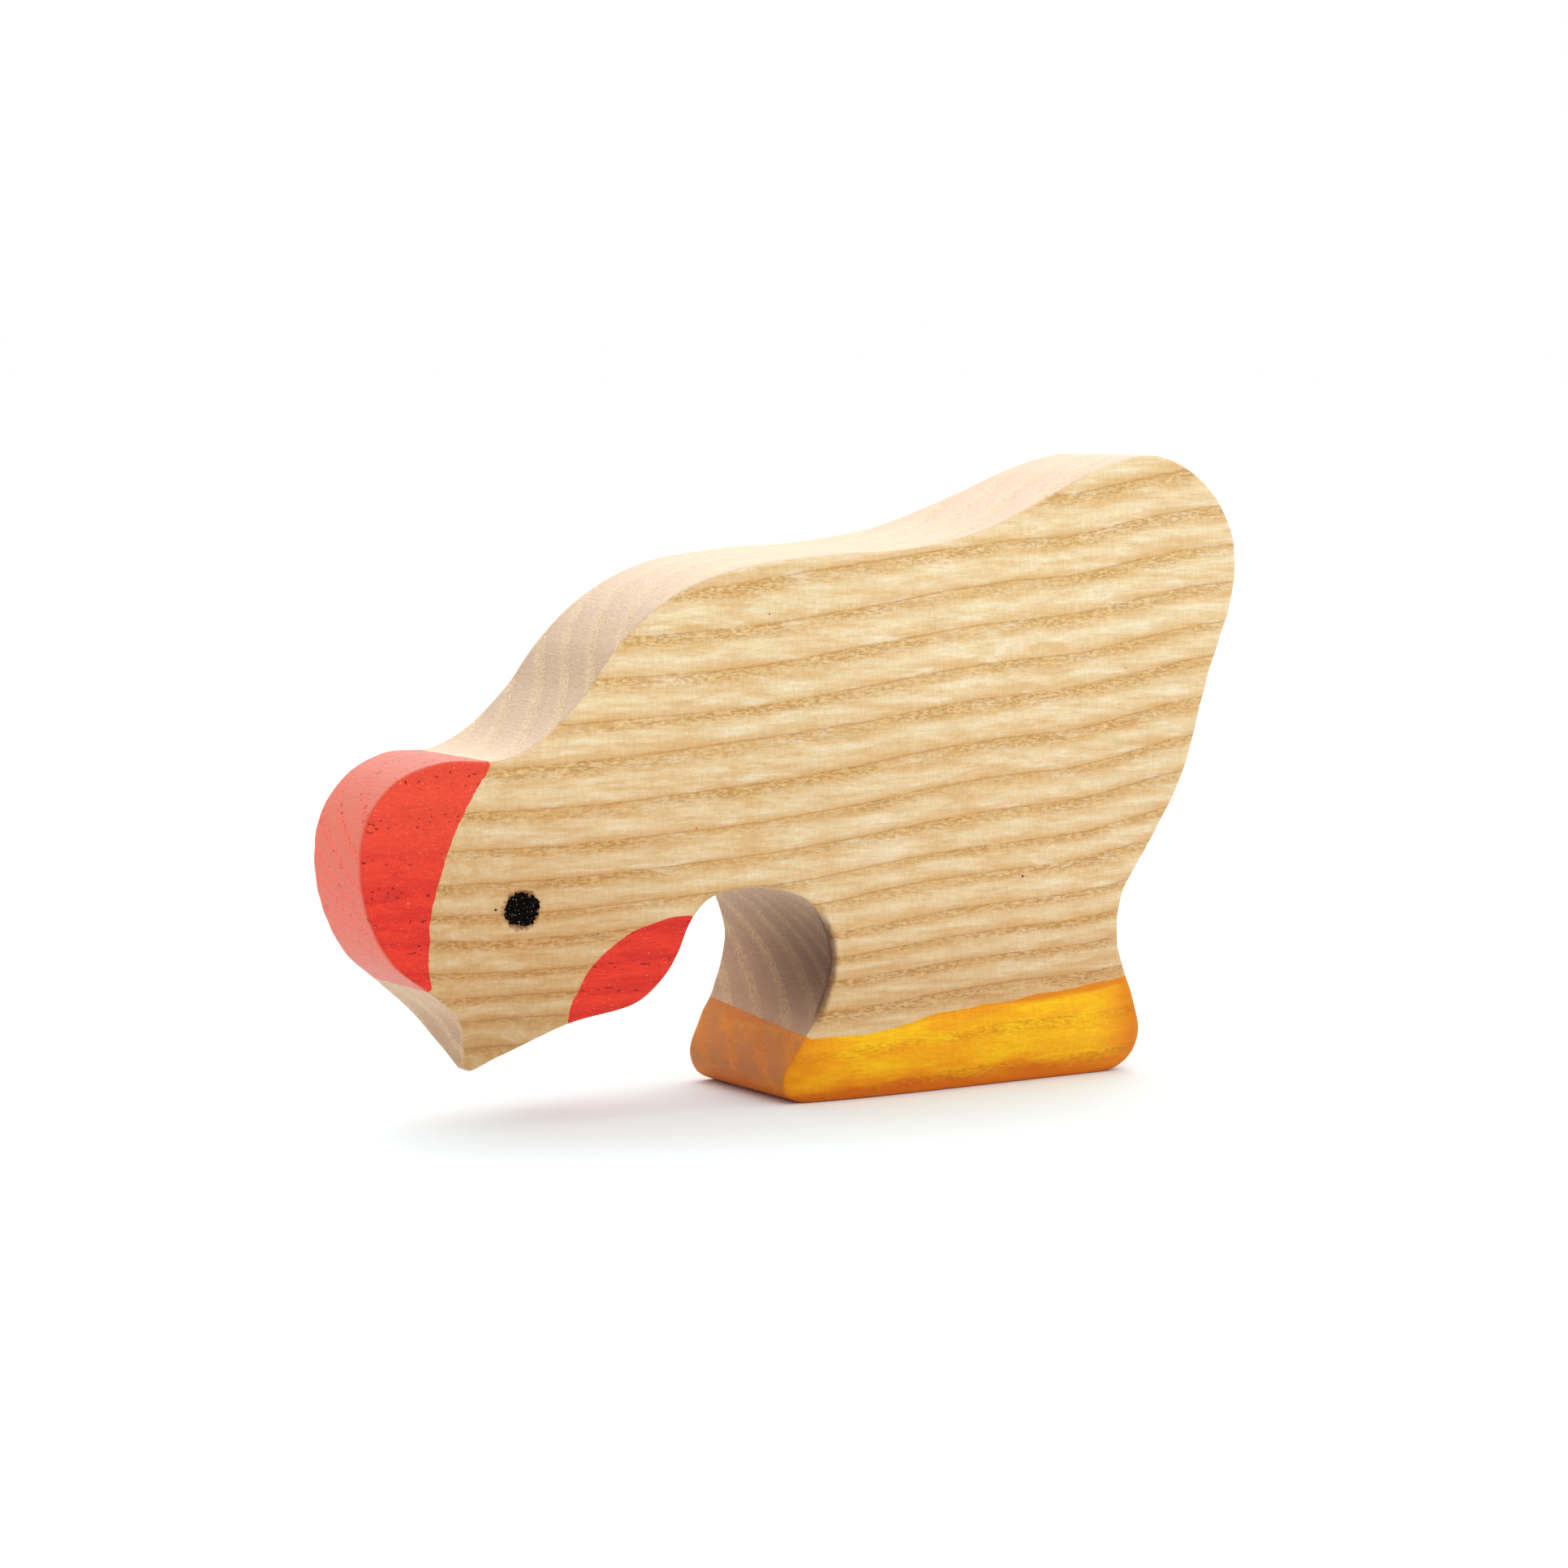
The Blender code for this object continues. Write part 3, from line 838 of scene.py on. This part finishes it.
def make_yellow():
    """Yellow stain that turns orange where more of it soaked in, low down and at both ends."""
    pattern = Pattern("yellow_stain")
    grain = grain_fields(pattern)
    patches = pattern.noise((0.09, 0.30, 0.34), detail=4.0, roughness=0.6, shift=53.0)
    base = pattern.ramp(patches, (
        (0.32, linear(245, 155, 4)),
        (0.44, linear(250, 172, 4)),
        (0.56, linear(254, 196, 6)),
        (0.70, linear(252, 186, 5)),
    ))
    streaks = pattern.span(grain["streaks"], 0.44, 0.66)
    colour = pattern.mix(pattern.math("MULTIPLY", streaks, 0.45), base, linear(242, 156, 6))
    fibres = pattern.span(grain["fibres"], 0.32, 0.68, 0.90, 1.06)
    # painted sheen: faint light and dark stripes along the silk figure
    silk_sheen = pattern.span(grain["silk_sheen"], 0.32, 0.68, 0.95, 1.04)
    colour = pattern.mix(1.0, colour, pattern.math("MULTIPLY", fibres, silk_sheen), "MULTIPLY")
    colour = pattern.mix(pattern.math("MULTIPLY", grain["grains"], 0.35), colour, linear(216, 122, 10))
    soaked = soaked_amount(pattern, patches)
    colour = pattern.mix(soaked, colour, linear(227, 120, 4))
    bands = end_bands(pattern, grain)
    rim = pattern.mix(bands, linear(182, 120, 68), linear(226, 134, 40))
    rim = pattern.mix(pattern.span(patches, 0.50, 0.66, 0.0, 0.55), rim, linear(236, 126, 14))
    sole = pattern.span(pattern.axis("Z"), 2.6 * MM, 0.6 * MM, 0.0, 0.60)
    rim = pattern.mix(sole, rim, linear(226, 120, 16))
    amount = pattern.math("MULTIPLY", grain["end"], grain["rim"])
    colour = pattern.mix(pattern.math("MULTIPLY", amount, 0.9), colour, rim)
    deep = pattern.math("MULTIPLY", pattern.span(soaked, 0.35, 1.0), 0.35)
    colour = pattern.mix(deep, colour, linear(190, 78, 4))
    rough = pattern.span(grain["fibres"], 0.3, 0.7, 0.55, 0.42)
    relief = pattern.math("MULTIPLY_ADD", grain["grains"], -0.8, grain["fibres"])
    normal = pattern.bump(relief, 0.06)
    ridges = pattern.math("MULTIPLY", sanding(pattern), grain["rim"])
    normal = pattern.bump(ridges, 0.05, normal)
    return pattern.finish(colour, rough, normal, Specular_IOR_Level=0.18)


def soaked_amount(pattern, patches):
    """How much stain has soaked in: most at the sole, the edges and the two ends."""
    low = pattern.axis("Z")
    along = pattern.axis("X")
    height = pattern.math("MULTIPLY_ADD", patches, 4.0 * MM, low)
    at_sole = pattern.span(height, 5.4 * MM, 2.2 * MM)
    tilted = pattern.math("MULTIPLY_ADD", along, -0.06, low)
    at_line = pattern.span(pattern.math("MULTIPLY_ADD", patches, 2.2 * MM, tilted), 7.2 * MM, 8.1 * MM)
    reach = pattern.math("MULTIPLY_ADD", patches, 7.0 * MM, along)
    at_heel = pattern.span(reach, 31.0 * MM, 37.0 * MM)
    at_toe = pattern.span(reach, 3.0 * MM, -1.5 * MM)
    gap = pattern.math("MULTIPLY_ADD", patches, 1.6, pattern.value("edge_gap"))
    at_edge = pattern.span(gap, 1.7, 0.7, 0.0, 0.7)
    ends = pattern.math("MAXIMUM", at_heel, pattern.math("MULTIPLY", at_toe, 0.8))
    sides = pattern.math("MAXIMUM", at_sole, pattern.math("MULTIPLY", at_line, 0.7))
    sides = pattern.math("MAXIMUM", sides, at_edge)
    return pattern.math("MAXIMUM", pattern.math("MULTIPLY", ends, 0.75), sides)


def make_black():
    """Charred wood: black and granular, with a few grains that catch the light."""
    pattern = Pattern("black_eye")
    grains = pattern.noise((5.0, 5.0, 5.0), detail=4.0, roughness=0.75, shift=61.0)
    # painted glints: pale specks on the black, where grains of char would catch the light
    specks = pattern.span(pattern.noise((6.5, 6.5, 6.5), detail=1.0, shift=67.0), 0.66, 0.72)
    colour = pattern.mix(pattern.math("MULTIPLY", specks, 0.8), linear(3, 2, 2), linear(176, 150, 116))
    rough = pattern.span(grains, 0.3, 0.7, 0.85, 0.55)
    normal = pattern.bump(grains, 0.20)
    return pattern.finish(colour, rough, normal, Specular_IOR_Level=0.05)


def make_floor_material():
    """Matt white card."""
    pattern = Pattern("white_card")
    fibre = pattern.noise((1.5, 1.5, 1.5), detail=4.0, shift=71.0)
    colour = pattern.mix(fibre, linear(237, 245, 249), linear(241, 249, 252))
    return pattern.finish(colour, 0.9, pattern.bump(fibre, 0.03), Specular_IOR_Level=0.1)


def add_floor(level):
    """A wide white floor at the height that the hen stands on."""
    signs = ((-1, -1), (1, -1), (1, 1), (-1, 1))
    corners = [(x * FLOOR_HALF, y * FLOOR_HALF, level) for x, y in signs]
    mesh = bpy.data.meshes.new("floor")
    mesh.from_pydata(corners, [], [(0, 1, 2, 3)])
    mesh.materials.append(make_floor_material())
    floor = bpy.data.objects.new("floor", mesh)
    bpy.context.collection.objects.link(floor)


def light_scene():
    """A white studio: brightest above and behind, with a soft key light, darker in front left."""
    world = bpy.data.worlds.new("studio")
    bpy.context.scene.world = world
    world.use_nodes = True
    nodes, links = world.node_tree.nodes, world.node_tree.links
    direction = nodes.new("ShaderNodeTexCoord").outputs["Generated"]

    def lobe(towards, start, end, strength):
        dot = nodes.new("ShaderNodeVectorMath")
        dot.operation = "DOT_PRODUCT"
        links.new(direction, dot.inputs[0])
        dot.inputs[1].default_value = Vector(towards).normalized()
        span = nodes.new("ShaderNodeMapRange")
        span.interpolation_type = "SMOOTHSTEP"
        links.new(dot.outputs["Value"], span.inputs["Value"])
        span.inputs["From Min"].default_value = start
        span.inputs["From Max"].default_value = end
        span.inputs["To Max"].default_value = strength
        return span.outputs["Result"]

    total = lobe((0.0, 0.0, 1.0), 0.0, 1.0, OVERHEAD_LIGHT)
    for part in (lobe(KEY_DIRECTION, 0.80, 1.0, KEY_LIGHT), lobe(SHADE_DIRECTION, 0.0, 0.9, -SHADE)):
        add = nodes.new("ShaderNodeMath")
        add.operation = "ADD"
        links.new(total, add.inputs[0])
        links.new(part, add.inputs[1])
        total = add.outputs[0]
    base = nodes.new("ShaderNodeMath")
    base.operation = "ADD"
    links.new(total, base.inputs[0])
    base.inputs[1].default_value = ROOM_LIGHT
    links.new(base.outputs[0], nodes["Background"].inputs["Strength"])
    nodes["Background"].inputs["Color"].default_value = (1.0, 1.0, 1.0, 1.0)
    bpy.context.scene.view_settings.view_transform = "Standard"


def add_camera(middle):
    """A short telephoto view of the hen's left side from in front and slightly above."""
    data = bpy.data.cameras.new("camera")
    data.sensor_width = 36.0
    data.lens = CAMERA_LENS
    data.clip_start = 0.01
    camera = bpy.data.objects.new("camera", data)
    bpy.context.collection.objects.link(camera)
    azimuth, elevation = math.radians(CAMERA_AZIMUTH), math.radians(CAMERA_ELEVATION)
    flat = math.cos(elevation)
    towards = Vector((math.sin(azimuth) * flat, -math.cos(azimuth) * flat, math.sin(elevation)))
    turned = towards.to_track_quat("Z", "Y").to_matrix().to_4x4()
    camera.matrix_world = Matrix.Translation(middle + towards * CAMERA_DISTANCE) @ turned
    bpy.context.scene.camera = camera


def build_hen(box):
    """Make the hen's pieces and hide the CAD node that each one stands in for."""
    regions = stain_regions()
    outline = hen_outline(box)
    points, triangles, labels = hen_surface(outline, regions)
    values, normals = describe(points, triangles, outline)
    wave = WAVE * smooth_noise(points, np.array([WAVE_RATE] * 3), 8.0)
    grain = np.cos(2.0 * math.pi * values["ring"]) * values["end_grain"].clip(0.3, 1.0)
    points = points + normals * (wave + GRAIN_RELIEF * grain)[:, None]
    red = make_red()
    black = make_black()
    bare, coated = triangles[labels == 0], triangles[labels > 0]
    wood = closed_piece(points, bare, coated, normals, POCKET, values)
    hen = add_piece("hen_wood", *wood, make_wood())
    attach(hen, "root")
    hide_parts("body")
    coats = (
        ("comb_stain", "comb_coat", "red_stain", red),
        ("wattle_stain", "wattle_coat", "red_stain", red),
        ("foot_stain", "foot_coat", "yellow_stain", make_yellow()),
        ("eye_mark_left", "eye_left", "black_eye", black),
        ("eye_mark_right", "eye_right", "black_eye", black),
    )
    for number, (name, node, slot, material) in enumerate(coats, start=1):
        chosen = triangles[labels == number]
        coat = closed_piece(points, chosen, chosen[:, ::-1], normals, COAT, values)
        piece = add_piece(name, *coat, material)
        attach(piece, "root")
        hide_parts(node)


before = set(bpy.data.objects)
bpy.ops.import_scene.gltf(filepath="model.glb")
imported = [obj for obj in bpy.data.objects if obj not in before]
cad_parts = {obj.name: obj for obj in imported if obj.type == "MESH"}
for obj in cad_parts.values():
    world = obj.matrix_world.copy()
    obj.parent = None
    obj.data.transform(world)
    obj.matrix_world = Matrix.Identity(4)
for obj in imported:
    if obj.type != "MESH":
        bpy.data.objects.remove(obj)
cad_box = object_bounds()
build_hen(cad_box)
add_floor(cad_box[0][2])
light_scene()
add_camera(Vector(CAMERA_TARGET))
